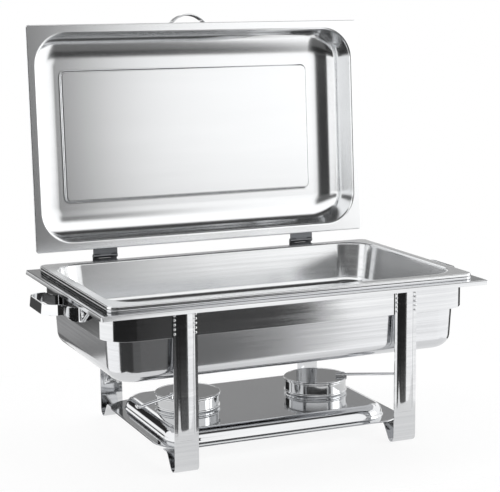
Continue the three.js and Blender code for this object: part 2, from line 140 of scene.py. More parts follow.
def arc(count, start=0.0, end=90.0):
    """Cosine and sine at even steps of an arc, both ends included."""
    turns = [math.radians(start + (end - start) * i / count) for i in range(count + 1)]
    return [(math.cos(a), math.sin(a)) for a in turns]


def shaded_piece(name, bm, material, sharp):
    """A piece from a bmesh: smooth faces, with a crease where they meet by more than sharp degrees."""
    for face in bm.faces:
        face.smooth = True
    for e in bm.edges:
        if len(e.link_faces) == 2 and e.calc_face_angle() > math.radians(sharp):
            e.smooth = False
    mesh = bpy.data.meshes.new(name)
    bm.to_mesh(mesh)
    bm.free()
    mesh.materials.append(material)
    piece = bpy.data.objects.new(name, mesh)
    bpy.context.scene.collection.objects.link(piece)
    return piece


def even_shading(piece):
    """Shades each face by its own area, so that flats stay flat beside their bends."""
    even = piece.modifiers.new("even_shading", "WEIGHTED_NORMAL")
    even.keep_sharp = True


def skin(
    name,
    rings,
    material,
    sheet=0.0,
    closed=True,
    cap_first=False,
    cap_last=False,
    flip=False,
    sharp=50,
    edge=0.25,
):
    """Joins rings of points into one smooth sheet, gives it its thickness and eases its cut edges."""
    bm = bmesh.new()
    rows = [[bm.verts.new(p) for p in ring] for ring in rings]
    count = len(rows[0])
    for a, b in zip(rows, rows[1:]):
        for j in range(count if closed else count - 1):
            k = (j + 1) % count
            bm.faces.new((a[j], a[k], b[k], b[j]))
    if cap_first:
        bm.faces.new(list(reversed(rows[0])))
    if cap_last:
        bm.faces.new(rows[-1])
    if flip:
        bmesh.ops.reverse_faces(bm, faces=bm.faces)
    piece = shaded_piece(name, bm, material, sharp)
    if sheet:
        wall = piece.modifiers.new("sheet", "SOLIDIFY")
        wall.thickness = sheet * MM
        wall.offset = -1
        wall.use_even_offset = True
    if edge:
        ease = piece.modifiers.new("eased_edge", "BEVEL")
        ease.width = edge * MM
        ease.segments = 2
        ease.limit_method = "ANGLE"
        ease.angle_limit = math.radians(60)
        ease.use_clamp_overlap = True
    even_shading(piece)
    return piece


def fit(piece, body, slot, *cad):
    """The piece moves with its CAD body and stands for its CAD nodes."""
    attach(piece, body)
    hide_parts(*cad)


APRON = (264.6, 153.1, 38.8)
APRON_BOTTOM = low.z / MM
FLANGE_CORNER = 3.0
FRAME_SHEET = 1.2
FRAME_BEND = 2.2
FRAME_EDGE = 2.0
LIP_DROP = 6.0  # how far the flange's edge is turned down
LIP_LEAN = 0.7  # how far the turned edge leans out
flange = (FLANGE_X, FLANGE_Y, FLANGE_CORNER)
rings = [outline(APRON, z) for z in (APRON_BOTTOM, APRON_BOTTOM + 0.6, FRAME_TOP - FRAME_BEND - 1)]
for c, s in arc(5):
    rings.append(outline(grow(APRON, FRAME_BEND * (1 - c)), FRAME_TOP - FRAME_BEND * (1 - s)))
rings.append(outline(grow(APRON, FRAME_BEND + 1), FRAME_TOP))
rings.append(outline(grow(flange, -FRAME_EDGE - LIP_LEAN - 1), FRAME_TOP))
for c, s in arc(6, 90, 12):
    rings.append(outline(grow(flange, FRAME_EDGE * (c - 1) - LIP_LEAN), FRAME_TOP - FRAME_EDGE * (1 - s)))
rings.append(outline(flange, FRAME_TOP - LIP_DROP))
upper_frame = skin("upper_frame_ring", rings, frame_steel, sheet=FRAME_SHEET, flip=True)
fit(upper_frame, "stand", "satin_steel", "upper_frame")

# ---------------------------------------------------------------- legs
# Each leg is one strip of stainless with a low crowned rib pressed down its middle. The lower end
# runs out flat, turns round under the dish and comes up inside to carry the shelf.

# The same stainless, brushed more coarsely: wide faint streaks run level across the strip.
leg_steel = steel("brushed_stainless_leg", "#d8d9da", "#c9cacc", 0.1, 0.03, 160.0, 0.12, 0.02)
leg_low, leg_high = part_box("leg_front_left")
LEG_X = -(leg_low.x + leg_high.x) / 2 / MM
LEG_TOP = leg_high.z / MM
LEG_HALF = (leg_high.x - leg_low.x) / 2 / MM
LEG_FACE = 156.1  # outer face of the flat strip, from the middle of the dish
LEG_SHEET = 1.5
RIB_HEIGHT = 4.0
RIB_FROM, RIB_FULL = 44.0, 60.0  # heights where the rib starts and where it is full
FOOT_RADIUS = 10.0
FOOT_RISE = 54.0  # slope of the strip behind the foot, in degrees
END_TOP = 22.95  # top of the strip's end, just under the shelf's rim
END_REACH = 111.0
END_RUN, END_CLIMB = 2.4, 2.1  # length and height of the bend that levels the end


def rib_section(height):
    """Points across the strip as (x, offset): flat flanges, soft shoulders and a broad rounded crown."""
    half = [(0.0, 1.0), (2.0, 0.985), (4.0, 0.94), (6.0, 0.865), (7.8, 0.76), (8.9, 0.65), (9.7, 0.5)]
    half += [(10.4, 0.34), (11.0, 0.19), (11.6, 0.08), (12.2, 0.02), (12.8, 0.0), (13.4, 0.0)]
    half += [(LEG_HALF - 0.8, 0.0), (LEG_HALF, 0.0)]
    points = [(-x, y) for x, y in reversed(half[1:])] + half
    return [(x, y * height) for x, y in points]


def leg_stations():
    """Stations down the strip's outer face as (distance out, height, rib height)."""
    stations = [(LEG_FACE, up, RIB_HEIGHT) for up in (LEG_TOP, LEG_TOP - 1, RIB_FULL + 1)]
    for c, s in arc(10):
        stations.append((LEG_FACE, RIB_FULL - (RIB_FULL - RIB_FROM) * s, RIB_HEIGHT * c**0.7))
    stations.append((LEG_FACE, RIB_FROM - 1, 0.0))
    stations.append((LEG_FACE, FOOT_RADIUS + 0.5, 0.0))
    for c, s in arc(14, 0, 90 + FOOT_RISE):
        stations.append((LEG_FACE - FOOT_RADIUS * (1 - c), FOOT_RADIUS * (1 - s), 0.0))
    out, up, _ = stations[-1]
    end = END_TOP - LEG_SHEET
    climb = end - END_CLIMB - up
    out -= climb / math.tan(math.radians(FOOT_RISE))
    stations.append((out, up + climb, 0.0))
    for _, s in arc(4, 0, FOOT_RISE):
        to_go = 1 - s / math.sin(math.radians(FOOT_RISE))
        stations.append((out - 1.0 - END_RUN * s, end - END_CLIMB * to_go, 0.0))
    stations.append((END_REACH, end, 0.0))
    return stations


def heading(path, i):
    """Direction of a path of vectors at its point i."""
    return (path[min(i + 1, len(path) - 1)] - path[max(i - 1, 0)]).normalized()


def leg_rings(side, facing):
    """Rows of points across one leg: side is -1 on the left, and facing is -1 at the front."""
    rings = []
    stations = leg_stations()
    path = [Vector((out, up)) for out, up, _ in stations]
    for i, (out, up, rib) in enumerate(stations):
        along = heading(path, i)
        ring = []
        for x, offset in rib_section(rib):
            y, z = out - along.y * offset, up + along.x * offset
            ring.append(Vector((side * LEG_X - facing * x, DISH_Y + facing * y, z)) * MM)
        rings.append(ring)
    return rings


for row, facing in (("front", -1), ("rear", 1)):
    for place, side in (("left", -1), ("right", 1)):
        rings = leg_rings(side, facing)
        name = f"leg_{row}_{place}"
        leg = skin(f"ribbed_{name}", rings, leg_steel, sheet=LEG_SHEET, closed=False, flip=True, sharp=70)
        fit(leg, "stand", "satin_steel", name)

# ---------------------------------------------------------------- fuel shelf
# One sheet pressed to a low platform with a full round shoulder and a flat rim, polished bright.
# It hangs between the legs on their turned-up ends.

# Polished bright: the burners and the dish above show in it almost as in a mirror.
shelf_steel = steel("polished_stainless_shelf", "#dcddde", "#d2d3d5", 0.075, 0.02, 60.0, 0.06, 0.03)
PLATFORM_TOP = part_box("fuel_shelf")[1].z / MM
SHELF_RIM = 24.3
SHELF_FLANGE = (183.0, 130.5, 44.0)
SHELF_FOOT = (165.0, 115.0, 40.0)
SHOULDER = 14.0
SHELF_DRAFT = 1.5
SHELF_BEND = 2.0
SHELF_EDGE = 0.8
SHELF_SHEET = 1.0
rings = [outline(grow(SHELF_FOOT, -SHELF_DRAFT - SHOULDER - 3), PLATFORM_TOP)]
for c, s in arc(12, 90, 0):
    shoulder = grow(SHELF_FOOT, -SHELF_DRAFT - SHOULDER * (1 - c))
    rings.append(outline(shoulder, PLATFORM_TOP - SHOULDER * (1 - s)))
for c, s in arc(4, 180, 270):
    rings.append(outline(grow(SHELF_FOOT, 1.2 + SHELF_BEND * c), SHELF_RIM + SHELF_BEND * (1 + s)))
rings.append(outline(grow(SHELF_FOOT, 3.5), SHELF_RIM))
rings.append(outline(grow(SHELF_FLANGE, -2.5), SHELF_RIM))
for c, s in arc(3, 90, 20):
    rings.append(outline(grow(SHELF_FLANGE, SHELF_EDGE * (c - 1)), SHELF_RIM - SHELF_EDGE * (1 - s)))
shelf = skin("fuel_shelf_tray", rings, shelf_steel, sheet=SHELF_SHEET, cap_first=True)
fit(shelf, "stand", "polished_steel", "fuel_shelf")

# ---------------------------------------------------------------- water pan
# Full-size gastronorm pan, deep-drawn from thin stainless. Only its outside shows, below the apron,
# and its rim lies on the frame's flange.

# Drawn and left as rolled, so it is a little duller than the frame.
pan_steel = steel("brushed_stainless_pan", "#d8d9db", "#cbccce", 0.13, 0.03, 300.0, 0.08, 0.03)
RIM = (265.0, 162.8, 12.0)
RIM_MOUTH = 3.2
RIM_EDGE = 1.5
RIM_DROP = 3.9
PAN_SHEET = 1.0
WATER_MOUTH = (256.5, 148.0, 37.0)
WATER_FOOT = (252.5, 144.0, 35.0)
WATER_FILLET = 19.0


def drawn_pan(node, mouth, foot, fillet, material):
    """A pan's inner skin from its floor, up the drafted walls, over the rim and down its turned edge."""
    bottom, rim = (corner.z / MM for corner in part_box(node))
    floor = bottom + PAN_SHEET
    rings = [outline(grow(foot, -fillet - 2), floor)]
    for c, s in arc(10):
        rings.append(outline(grow(foot, -fillet * (1 - s)), floor + fillet * (1 - c)))
    for c, s in arc(6):
        rings.append(outline(grow(mouth, RIM_MOUTH * (1 - c)), rim - RIM_MOUTH * (1 - s)))
    rings.append(outline(grow(mouth, RIM_MOUTH + 0.8), rim))
    rings.append(outline(grow(RIM, -RIM_EDGE - 0.8), rim))
    for c, s in arc(4, 90, 0):
        rings.append(outline(grow(RIM, RIM_EDGE * (c - 1)), rim - RIM_EDGE * (1 - s)))
    rings.append(outline(RIM, rim - RIM_DROP))
    pan = skin(f"{node}_drawn", rings, material, sheet=PAN_SHEET, cap_first=True, flip=True)
    fit(pan, f"{node}_body", "satin_steel", node)


drawn_pan("water_pan", WATER_MOUTH, WATER_FOOT, WATER_FILLET, pan_steel)

# ---------------------------------------------------------------- food pan
# The shallower pan that holds the food. It nests in the water pan on the same rim, and is
# drawn from the same sheet, a little brighter inside.

# The same drawn sheet, given a lighter colour than the water pan's.
food_steel = steel("brushed_stainless_food_pan", "#e2e3e4", "#dadbdc", 0.17, 0.02, 240.0, 0.08, 0.03)
FOOD_MOUTH = (250.0, 145.0, 44.0)
FOOD_FOOT = (242.0, 137.0, 39.0)
FOOD_FILLET = 14.0
drawn_pan("food_pan", FOOD_MOUTH, FOOD_FOOT, FOOD_FILLET, food_steel)

# ---------------------------------------------------------------- lid
# Deep-drawn lid standing open on its hinges: a flat flange, drafted walls and a raised rectangle
# pressed into the panel. It is satin inside and out.

# Satin finish: reflections melt into broad soft gradients, with no grain to be seen.
lid_steel = steel("satin_stainless_lid", "#e8e9ea", "#e6e7e8", 0.16, 0.002, 60.0, 0.0, 0.004)
LID_TURN = math.radians(86.37)  # from lying face up to standing open
LID_FLANGE = (265.4, 164.15, 5.0)
LID_MOUTH = (251.0, 150.0, 45.0)
LID_FOOT = (249.0, 148.0, 43.0)
LID_DEPTH = 57.0
LID_FILLET = 14.0  # depth of the round between wall and panel
LID_SPREAD = 38.0  # width of that round over the panel
LID_EDGE = 1.6
LID_BEND = 3.0
LID_SHEET = 1.0
PANEL_FRAME = (200.6, 97.0, 8.0)  # outline of the raised rectangle
PANEL_STEP = 2.5
PANEL_BEND = 1.2
# The lower edge of the open lid's face, from the middle of the dish and from the floor.
EDGE_BACK, EDGE_UP = 171.8, 246.1
lid_back = EDGE_BACK + LID_FLANGE[1] * math.cos(LID_TURN)
lid_up = EDGE_UP + LID_FLANGE[1] * math.sin(LID_TURN)
lid_centre = Vector((0, lid_back, lid_up))


def stand_up(points):
    """Points of the lid lying face up on the dish's middle, turned to where the open lid stands."""
    turn = Matrix.Rotation(LID_TURN, 3, "X")
    middle = Vector((0, DISH_Y, 0)) * MM
    return [turn @ (p - middle) + middle + lid_centre * MM for p in points]


raised = PANEL_STEP - LID_DEPTH
rings = [outline(grow(PANEL_FRAME, -3), raised)]
for c, s in arc(3, 90, 10):
    rings.append(outline(grow(PANEL_FRAME, PANEL_BEND * (c - 1)), raised - PANEL_BEND * (1 - s)))
for c, s in arc(3, 190, 270):
    rings.append(outline(grow(PANEL_FRAME, 1.6 + PANEL_BEND * c), PANEL_BEND * (1 + s) - LID_DEPTH))
rings.append(outline(grow(PANEL_FRAME, 4), -LID_DEPTH))
rings.append(outline(grow(LID_FOOT, -LID_SPREAD - 1), -LID_DEPTH))
for c, s in arc(18):
    rings.append(outline(grow(LID_FOOT, -LID_SPREAD * (1 - s)), -LID_DEPTH + LID_FILLET * (1 - c)))
for c, s in arc(6):
    rings.append(outline(grow(LID_MOUTH, LID_BEND * (1 - c)), -LID_BEND * (1 - s)))
rings.append(outline(grow(LID_MOUTH, LID_BEND + 1), 0))
rings.append(outline(grow(LID_FLANGE, -LID_EDGE - 0.8), 0))
for c, s in arc(6, 90, 10):
    rings.append(outline(grow(LID_FLANGE, LID_EDGE * (c - 1)), -LID_EDGE * (1 - s)))
rings = [stand_up(ring) for ring in rings]
lid = skin("lid_drawn", rings, lid_steel, sheet=LID_SHEET, cap_first=True, flip=True)
fit(lid, "lid", "satin_steel", "lid_shell")

# ---------------------------------------------------------------- lid handle
# A flat steel strap, chromed bright and bent to an arch. Its two flat feet are riveted to the
# lid's front wall.

# Bright chrome: a clean mirror, with barely a trace of the strap's own grain.
chrome = steel("bright_chrome", "#e6e7e8", "#dcdddf", 0.045, 0.015, 40.0, 0.03, 0.02)


def strap(name, path, widths, across, thickness, material, edge=0.7, flip=False):
    """A flat strap along a path.

    widths holds each point's two edges in millimetres, measured along its own direction in across.
    """
    rings = []
    for point, (a, b), way in zip(path, widths, across):
        rings.append([point + way * (a + (b - a) * t) * MM for t in (0.0, 0.08, 0.5, 0.92, 1.0)])
    return skin(name, rings, material, sheet=thickness, closed=False, flip=flip, edge=edge, sharp=70)


ARCH_RADIUS = 36.3
ARCH_DEPTH = 46.0
ARCH_WIDTH = 14.0
ARCH_SHEET = 2.5
ARCH_FOOT = 15.0
ARCH_RISE = 14.7  # crown of the arch above the flange's edge
ARCH_GAP = 0.3
LID_DRAFT = 2 / 41  # how fast the lid's walls lean in
wall_y = LID_MOUTH[1] + LID_SHEET - LID_DRAFT * (ARCH_DEPTH - ARCH_WIDTH / 2 - LID_BEND)
foot_y = wall_y + ARCH_GAP + ARCH_SHEET
arch_centre = LID_FLANGE[1] + ARCH_RISE - ARCH_RADIUS
start = math.degrees(math.asin((foot_y + 2 - arch_centre) / ARCH_RADIUS))
spring = ARCH_RADIUS * math.cos(math.radians(start))
line = [(spring + ARCH_FOOT, foot_y), (spring + 3, foot_y), (spring + 1.2, foot_y + 0.5)]
line += [(ARCH_RADIUS * c, arch_centre + ARCH_RADIUS * s) for c, s in arc(32, start, 180 - start)]
line += [(-x, y) for x, y in reversed(line[:3])]
path = [Vector((x, DISH_Y + y, -ARCH_DEPTH - ARCH_WIDTH / 2)) * MM for x, y in line]
widths = [(0, ARCH_WIDTH)] * len(path)
turned = Matrix.Rotation(LID_TURN, 3, "X") @ Vector((0, 0, 1))
across = [turned] * len(path)
lid_handle = strap("lid_arch_handle", stand_up(path), widths, across, ARCH_SHEET, chrome, flip=True)
fit(lid_handle, "lid", "chrome_fittings", "lid_handle")

# ---------------------------------------------------------------- side handles
# One flat strap bent to a U at each end of the apron. Its arms grow taller towards the apron and
# turn outwards into pointed ears, each held by a rivet.

STRAP = 2.4
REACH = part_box("side_handle_right")[1].x / MM
ARM = 46.0 + STRAP / 2
GRIP_BEND = 22.0 + STRAP / 2
FOOT_BEND = 7.0 - STRAP / 2
EAR_TIP = 78.0
EAR_TOP = 209.5
TIP_EDGES = (207.4, EAR_TOP)
FOOT_EDGES = (190.5, EAR_TOP)  # lower and upper edge of the strap where it leaves the apron
GRIP_EDGES = (201.4, 215.4)
GRIP_MIDDLE = 208.4
GRIP_LEAN = 0.12  # how far the grip's face leans in at the top, per millimetre of height
LEAN_ROOM = 0.8  # the grip's middle line lies this far inside its lower edge
LEAN_FROM, LEAN_OVER = 3.0, 16.0  # where the lean starts along the arms, and how long it takes
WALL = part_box("side_handle_right")[0].x / MM + STRAP  # outer face of the ears on the apron


def side_strap(side):
    """Path, edge heights and lean of one strap. The grip and its bends lean in at the top."""
    half = [(WALL, EAR_TIP, TIP_EDGES), (WALL, EAR_TIP - 1, (TIP_EDGES[0] - 1, EAR_TOP))]
    half.append((WALL, ARM + FOOT_BEND + 1, (FOOT_EDGES[0] + 1.5, EAR_TOP)))
    for c, s in arc(6):
        half.append((WALL + FOOT_BEND * (1 - c), ARM + FOOT_BEND * (1 - s), FOOT_EDGES))
    foot_end = WALL + FOOT_BEND
    for t in (0.1, 0.3, 0.5, 0.7, 0.9):
        ease = t * t * (3 - 2 * t)
        edges = [f + (g - f) * ease for f, g in zip(FOOT_EDGES, GRIP_EDGES)]
        half.append((foot_end + (REACH - GRIP_BEND - foot_end) * t, ARM, edges))
    for c, s in arc(14):
        x = REACH - LEAN_ROOM - GRIP_BEND * (1 - s)
        half.append((x, ARM - GRIP_BEND * (1 - c), GRIP_EDGES))
    points = half + [(x, -y, edges) for x, y, edges in reversed(half)]
    if side < 0:
        points = [(-x, -y, edges) for x, y, edges in points]
    path = [Vector((x, DISH_Y + y, GRIP_MIDDLE)) * MM for x, y, _ in points]
    widths = [(a - GRIP_MIDDLE, b - GRIP_MIDDLE) for _, _, (a, b) in points]
    across = []
    for i, point in enumerate(path):
        along = heading(path, i)
        share = min(max((abs(point.x) / MM - WALL - LEAN_FROM) / LEAN_OVER, 0), 1)
        across.append(Vector((along.y, -along.x, 0)) * GRIP_LEAN * share + Vector((0, 0, 1)))
    return path, widths, across


for place, side in (("left", -1), ("right", 1)):
    path, widths, across = side_strap(side)
    handle = strap(f"side_strap_{place}", path, widths, across, STRAP, chrome, edge=0.8)
    fit(handle, "stand", "chrome_fittings", f"side_handle_{place}")

# ---------------------------------------------------------------- burners
# Two spun steel pots of gel fuel stand on the shelf. Each has a bead round its foot and a flat
# cover that swings on a rivet, pushed by a thin rod with a hooked end.

# Spun and buffed: it mirrors the shelf, the legs and the room, a little darker than they are.
mirror_steel = steel("mirror_stainless_burner", "#c9cacb", "#bfc0c1", 0.07, 0.02, 60.0, 0.05, 0.03)
TURN_STEPS = 96
ROD_SIDES = 14


def turned_piece(name, profile, centre, material):
    """A closed piece turned about the vertical through centre, from a profile with both ends on it."""
    bm = bmesh.new()
    base = Vector(centre)
    poles = [bm.verts.new((base + Vector((0, 0, profile[i][1]))) * MM) for i in (0, -1)]
    rows = []
    for r, z in profile[1:-1]:
        row = []
        for j in range(TURN_STEPS):
            a = 2 * math.pi * j / TURN_STEPS
            row.append(bm.verts.new((base + Vector((r * math.cos(a), r * math.sin(a), z))) * MM))
        rows.append(row)
    for j in range(TURN_STEPS):
        k = (j + 1) % TURN_STEPS
        bm.faces.new((poles[0], rows[0][k], rows[0][j]))
        for a, b in zip(rows, rows[1:]):
            bm.faces.new((a[j], a[k], b[k], b[j]))
        bm.faces.new((rows[-1][j], rows[-1][k], poles[1]))
    piece = shaded_piece(name, bm, material, 50)
    even_shading(piece)
    return piece


def rod(name, path, radius, material):
    """A round rod along a path of points in metres, with its two ends rounded off."""
    rings = []
    for i, point in enumerate(path):
        along = heading(path, i)
        side = along.cross(Vector((0, 0, 1))).normalized()
        up = side.cross(along)
        share = 0.55 if i in (0, len(path) - 1) else 1.0
        ring = []
        for k in range(ROD_SIDES):
            a = 2 * math.pi * k / ROD_SIDES
            ring.append(point + (side * math.cos(a) - up * math.sin(a)) * radius * share * MM)
        rings.append(ring)
    return skin(name, rings, material, cap_first=True, cap_last=True, edge=0.0, sharp=60)


def coat(node, material):
    """Gives a CAD node that stays in sight its finish."""
    nodes[node].data.materials.clear()
    nodes[node].data.materials.append(material)


# Ethanol gel: pale blue and cloudy, with a wet sheen. The clouds are about 17 mm across.
gel_blue = bpy.data.materials.new("ethanol_gel")
gel_blue.use_nodes = True
tree = gel_blue.node_tree
place = add_node(tree, "ShaderNodeTexCoord").outputs["Object"]
cloud = add_node(tree, "ShaderNodeTexNoise", Vector=place, Scale=60.0, Detail=3.0).outputs["Fac"]
blues = {"i6": linear("#b9c9dc"), "i7": linear("#dbe4ee")}
tint = add_node(tree, "ShaderNodeMix", {"data_type": "RGBA"}, i0=cloud, **blues)
tree.links.new(tint.outputs[2], tree.nodes["Principled BSDF"].inputs["Base Color"])
tree.nodes["Principled BSDF"].inputs["Roughness"].default_value = 0.25

POT_RADIUS = 44.5
POT_MOUTH = 34.0
POT_SHEET = 1.0
COVER_RADIUS = 46.5
COVER_CROWN = 1.6
COVER_DISH = 0.35  # how far the cover's middle is pressed in
ARM_RADIUS = 2.1
# The damper rod as (distance from the pot's middle, rise): nearly level, with a hooked end.
ROD_LINE = [(29.5, 0.0), (30, 0.0), (36, 0.0), (60, 0.7), (80, 1.2), (100, 1.7)]
ROD_LINE += [(113, 2.0), (117, 2.4), (119.6, 3.4), (121.3, 5.0), (122, 6.6), (122.1, 7.0)]


def pot_profile(height):
    """Up a pot's outside from its floor, over the foot bead and the turned-in mouth, and back inside."""
    wall = [(0, 0), (POT_RADIUS - 4, 0)]
    wall += [(POT_RADIUS - 1.5 + 1.5 * s, 1.5 - 1.5 * c) for c, s in arc(4)]
    wall += [(POT_RADIUS + 1.4 * s, 4.6 - 1.6 * c) for c, s in arc(8, 10, 170)]
    wall += [(POT_RADIUS, 7.0), (POT_RADIUS, height - 1.6)]
    wall += [(POT_RADIUS - 1.2 + 1.2 * c, height - 1.2 + 1.2 * s) for c, s in arc(4)]
    wall += [(POT_MOUTH, height), (POT_MOUTH - 0.6, height - POT_SHEET / 2)]
    inside = POT_RADIUS - POT_SHEET
    wall += [(POT_MOUTH, height - POT_SHEET), (inside - 0.4, height - POT_SHEET)]
    wall += [(inside, height - 1.6), (inside, 3), (inside - 2, POT_SHEET), (0, POT_SHEET)]
    return wall


def cover_profile(height):
    """Round a cover from its flat underside, over its crowned edge, to the shallow dish on top."""
    disc = [(0, 0), (COVER_RADIUS - 0.8, 0)]
    disc += [(COVER_RADIUS - 0.5 + 0.5 * s, 0.5 - 0.5 * c) for c, s in arc(3)]
    for c, s in arc(6):
        disc.append((COVER_RADIUS - COVER_CROWN * (1 - c), height - COVER_CROWN * (1 - s)))
    disc += [(COVER_RADIUS - 3.4, height), (COVER_RADIUS - 4.2, height - COVER_DISH)]
    return disc + [(0, height - COVER_DISH)]


for place, swing in (("left", 215.0), ("right", -29.0)):
    pot_low, pot_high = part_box(f"burner_pot_{place}")
    x, y = (pot_low.x + pot_high.x) / 2 / MM, (pot_low.y + pot_high.y) / 2 / MM
    base = pot_low.z / MM
    profile = pot_profile((pot_high.z - pot_low.z) / MM)
    pot = turned_piece(f"gel_pot_{place}", profile, (x, y, base), mirror_steel)
    fit(pot, f"burner_{place}", "polished_steel", f"burner_pot_{place}")
    coat(f"fuel_gel_{place}", gel_blue)
    foot, top = (corner.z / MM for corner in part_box(f"burner_cover_{place}"))
    profile = cover_profile(top - foot)
    cover = turned_piece(f"damper_cover_{place}", profile, (x, y, foot), mirror_steel)
    fit(cover, f"damper_{place}", "polished_steel", f"burner_cover_{place}")
    turn = Matrix.Rotation(math.radians(swing), 3, "Z")
    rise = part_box(f"burner_arm_{place}")[0].z / MM + ARM_RADIUS
    path = [(Vector((x, y, rise)) + turn @ Vector((r, 0, z))) * MM for r, z in ROD_LINE]
    arm = rod(f"damper_rod_{place}", path, ARM_RADIUS, chrome)
    fit(arm, f"damper_{place}", "chrome_fittings", f"burner_arm_{place}")

# ---------------------------------------------------------------- hinges and burner pivots
# Plain folded steel leaves, dark with age, that turn on a straight bright pin, and the small
# domed rivets that the burner arms swing on.

# Zinc-plated steel gone dull: grey, with soft reflections and fine streaks.
hinge_steel = steel("dark_zinc_hinge", "#77797c", "#66686a", 0.34, 0.05, 200.0, 0.1, 0.02)
for place in ("left", "right"):
    coat(f"hinge_bracket_{place}", hinge_steel)
    coat(f"hinge_leaf_{place}", hinge_steel)
    coat(f"hinge_pin_{place}", mirror_steel)
    coat(f"burner_pivot_{place}", chrome)

# ---------------------------------------------------------------- rivets and spot welds
# Domed steel rivets hold the handles and the hinge brackets, and two columns of spot welds fix each
# leg to the apron. Each kind is one head, copied to its points by Geometry Nodes.

HANDLE_RIVET = (4.2, 1.9)  # radius and height of each kind of head
BRACKET_RIVET = (4.0, 1.7)
LID_RIVET = (4.0, 1.8)
WELD = (1.8, 0.9)
WELD_FROM, WELD_PITCH, WELD_ROWS = 187.0, 6.1, 6
WELD_INSET = 2.2  # from the edge of the leg's strip
WELD_SINK = 0.12  # how deep a weld's middle lies in the strip
RIVET_LIFT = 0.1  # how far a rivet's middle stands off the sheet


def heads(name, body, spots, outward, head_size, material, seed):
    """A head at each spot, its dome along outward and its size varied a little, as one plain mesh."""
    tree = bpy.data.node_groups.new(name, "GeometryNodeTree")
    tree.interface.new_socket("Geometry", in_out="INPUT", socket_type="NodeSocketGeometry")
    wanted = {"Radius": head_size[0] * MM, "Dome": head_size[1] * MM, "Outward": outward}
    for label in wanted:
        kind = "NodeSocketVector" if label == "Outward" else "NodeSocketFloat"
        tree.interface.new_socket(label, in_out="INPUT", socket_type=kind)
    tree.interface.new_socket("Geometry", in_out="OUTPUT", socket_type="NodeSocketGeometry")
    given = add_node(tree, "NodeGroupInput").outputs
    sphere = {"Segments": 24, "Rings": 14, "Radius": given["Radius"]}
    ball = add_node(tree, "GeometryNodeMeshUVSphere", **sphere).outputs["Mesh"]
    divide = {"operation": "DIVIDE"}
    share = add_node(tree, "ShaderNodeMath", divide, i0=given["Dome"], i1=given["Radius"]).outputs[0]
    flat = add_node(tree, "ShaderNodeCombineXYZ", X=1.0, Y=1.0, Z=share).outputs[0]
    head = add_node(tree, "GeometryNodeTransform", Geometry=ball, Scale=flat).outputs[0]
    head = add_node(tree, "GeometryNodeSetShadeSmooth", Geometry=head).outputs[0]
    align = "FunctionNodeAlignRotationToVector"
    aim = add_node(tree, align, {"axis": "Z"}, Vector=given["Outward"]).outputs[0]
    number = {"data_type": "FLOAT"}
    size = add_node(tree, "FunctionNodeRandomValue", number, Seed=seed, i2=0.94, i3=1.06).outputs[1]
    copy = {"Points": given["Geometry"], "Instance": head, "Rotation": aim, "Scale": size}
    copies = add_node(tree, "GeometryNodeInstanceOnPoints", **copy).outputs[0]
    real = add_node(tree, "GeometryNodeRealizeInstances", Geometry=copies).outputs[0]
    done = add_node(tree, "GeometryNodeSetMaterial", Geometry=real, Material=material).outputs[0]
    add_node(tree, "NodeGroupOutput", Geometry=done)
    mesh = bpy.data.meshes.new(name + "_points")
    mesh.from_pydata([Vector(p) * MM for p in spots], [], [])
    source = bpy.data.objects.new(name + "_points", mesh)
    bpy.context.scene.collection.objects.link(source)
    modifier = source.modifiers.new("heads", "NODES")
    modifier.node_group = tree
    for socket in tree.interface.items_tree:
        if socket.name in wanted:
            modifier[socket.identifier] = wanted[socket.name]
    bpy.context.view_layer.update()
    evaluated = source.evaluated_get(bpy.context.evaluated_depsgraph_get())
    made = bpy.data.objects.new(name, bpy.data.meshes.new_from_object(evaluated))
    bpy.context.scene.collection.objects.link(made)
    bpy.data.objects.remove(source)
    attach(made, body)
    return made


def middle(node):
    """The middle of a CAD node's box, in millimetres."""
    low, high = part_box(node)
    return (low + high) / 2 / MM


for place, side in (("left", -1), ("right", 1)):
    names = [f"handle_rivet_{place}_{end}" for end in ("front", "rear")]
    face = side * (WALL + RIVET_LIFT)
    spots = [(face, middle(n).y, middle(n).z) for n in names]
    rivets = heads(f"handle_rivets_{place}", "stand", spots, (side, 0, 0), HANDLE_RIVET, chrome, 3)
    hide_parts(*names)
    names = [f"bracket_rivet_{place}_{i}" for i in (1, 2)]
    spots = [(middle(n).x, middle(n).y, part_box(n)[1].z / MM - BRACKET_RIVET[1]) for n in names]
    name = f"bracket_rivets_{place}"
    rivets = heads(name, "stand", spots, (0, 0, 1), BRACKET_RIVET, hinge_steel, 5)
    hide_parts(*names)
    for row, facing in (("front", -1), ("rear", 1)):
        spots = []
        y = DISH_Y + facing * (LEG_FACE - WELD_SINK)
        for column in (-1, 1):
            x = side * LEG_X + column * (LEG_HALF - WELD_INSET)
            spots += [(x, y, WELD_FROM + i * WELD_PITCH) for i in range(WELD_ROWS)]
        heads(f"spot_welds_{row}_{place}", "stand", spots, (0, facing, 0), WELD, leg_steel, 11)

names = ("lid_handle_rivet_1", "lid_handle_rivet_2")
seat = stand_up([Vector((0, DISH_Y + foot_y + RIVET_LIFT, 0)) * MM])[0]
outward = Matrix.Rotation(LID_TURN, 3, "X") @ Vector((0, 1, 0))
spots = []
for name in names:
    centre = middle(name)
    spots.append(centre + outward * outward.dot(seat / MM - centre))
rivets = heads("lid_handle_rivets", "lid", spots, outward, LID_RIVET, chrome, 7)
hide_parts(*names)

# ---------------------------------------------------------------- table and studio
# A white table that ends a little in front of the feet, in a bright room with a dark side, so
# that the steel has something to show.

TABLE_LEFT, TABLE_RIGHT = -440.0, 520.0
TABLE_FRONT, TABLE_BACK = -330.0 + DISH_Y, 430.0 + DISH_Y
TABLE_SHEET = 20.0
